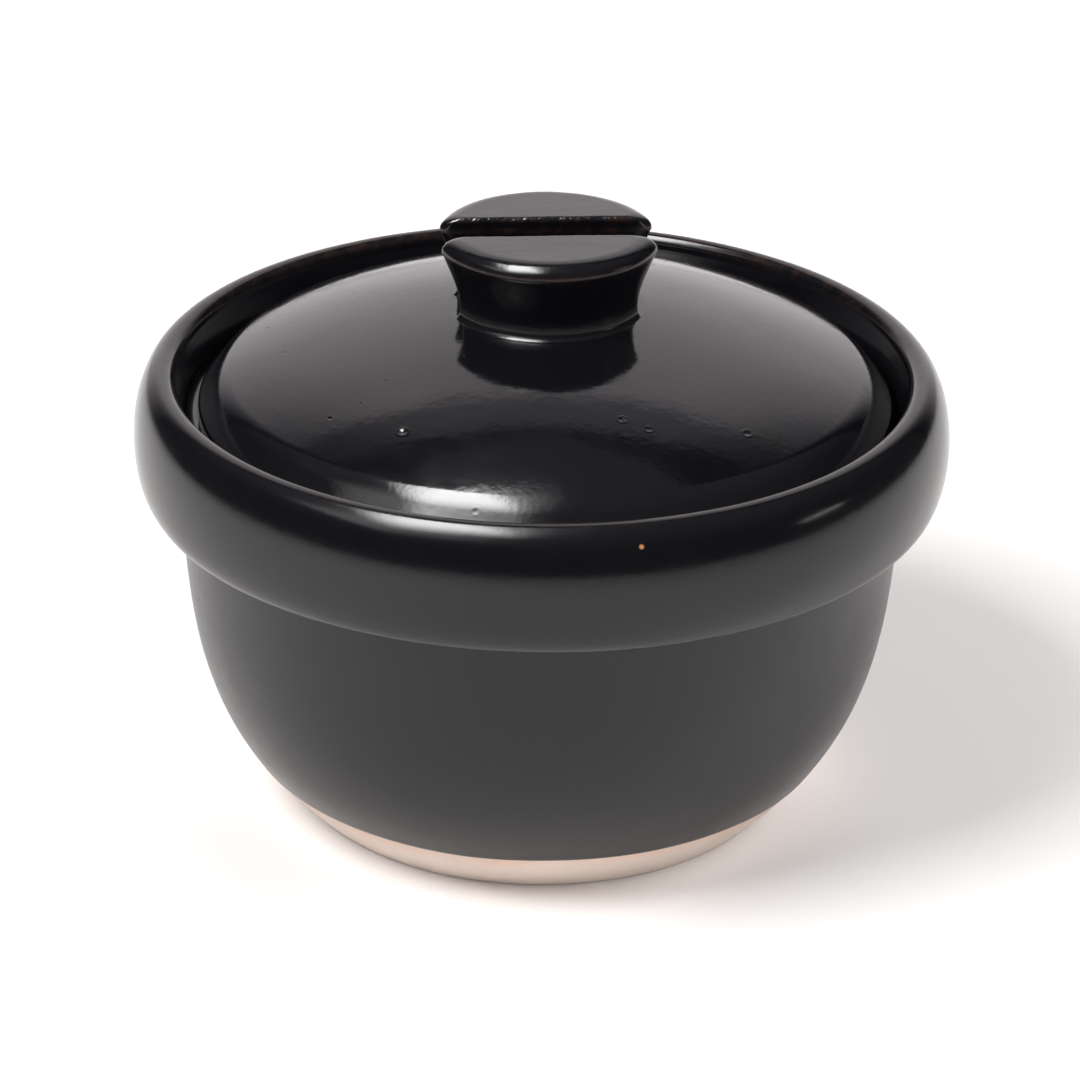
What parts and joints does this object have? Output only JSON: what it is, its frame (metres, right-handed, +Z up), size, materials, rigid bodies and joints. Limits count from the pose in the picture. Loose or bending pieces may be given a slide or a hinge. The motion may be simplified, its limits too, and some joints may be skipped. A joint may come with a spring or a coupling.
{
  "type": "lidded rice pot",
  "caption": "Round stoneware cooking pot with an overhanging rolled collar, a recessed domed lid that lifts off, and a flared knob split by a straight slot.",
  "frame": {"origin": "centre of the foot, where the pot's axis meets the surface it stands on", "axes": "+Z up along the pot's axis, X along the slot in the knob, -Y towards the front"},
  "size_m": [0.2, 0.2, 0.1471],
  "materials": {
    "body_glaze": "satin black glaze",
    "lid_glaze": "glossy black glaze",
    "knob_front_glaze": "glossy black glaze",
    "knob_rear_glaze": "glossy black glaze"
  },
  "bodies": {
    "pot": {"pot_body": "body_glaze"},
    "lid": {"lid_dome": "lid_glaze", "knob_front_half": "knob_front_glaze", "knob_rear_half": "knob_rear_glaze"}
  },
  "joints": [
    {"name": "lid_lift", "type": "slide", "parent": "pot", "child": "lid", "axis": [0, 0, 1], "range_m": [0, 0.1]}
  ]
}
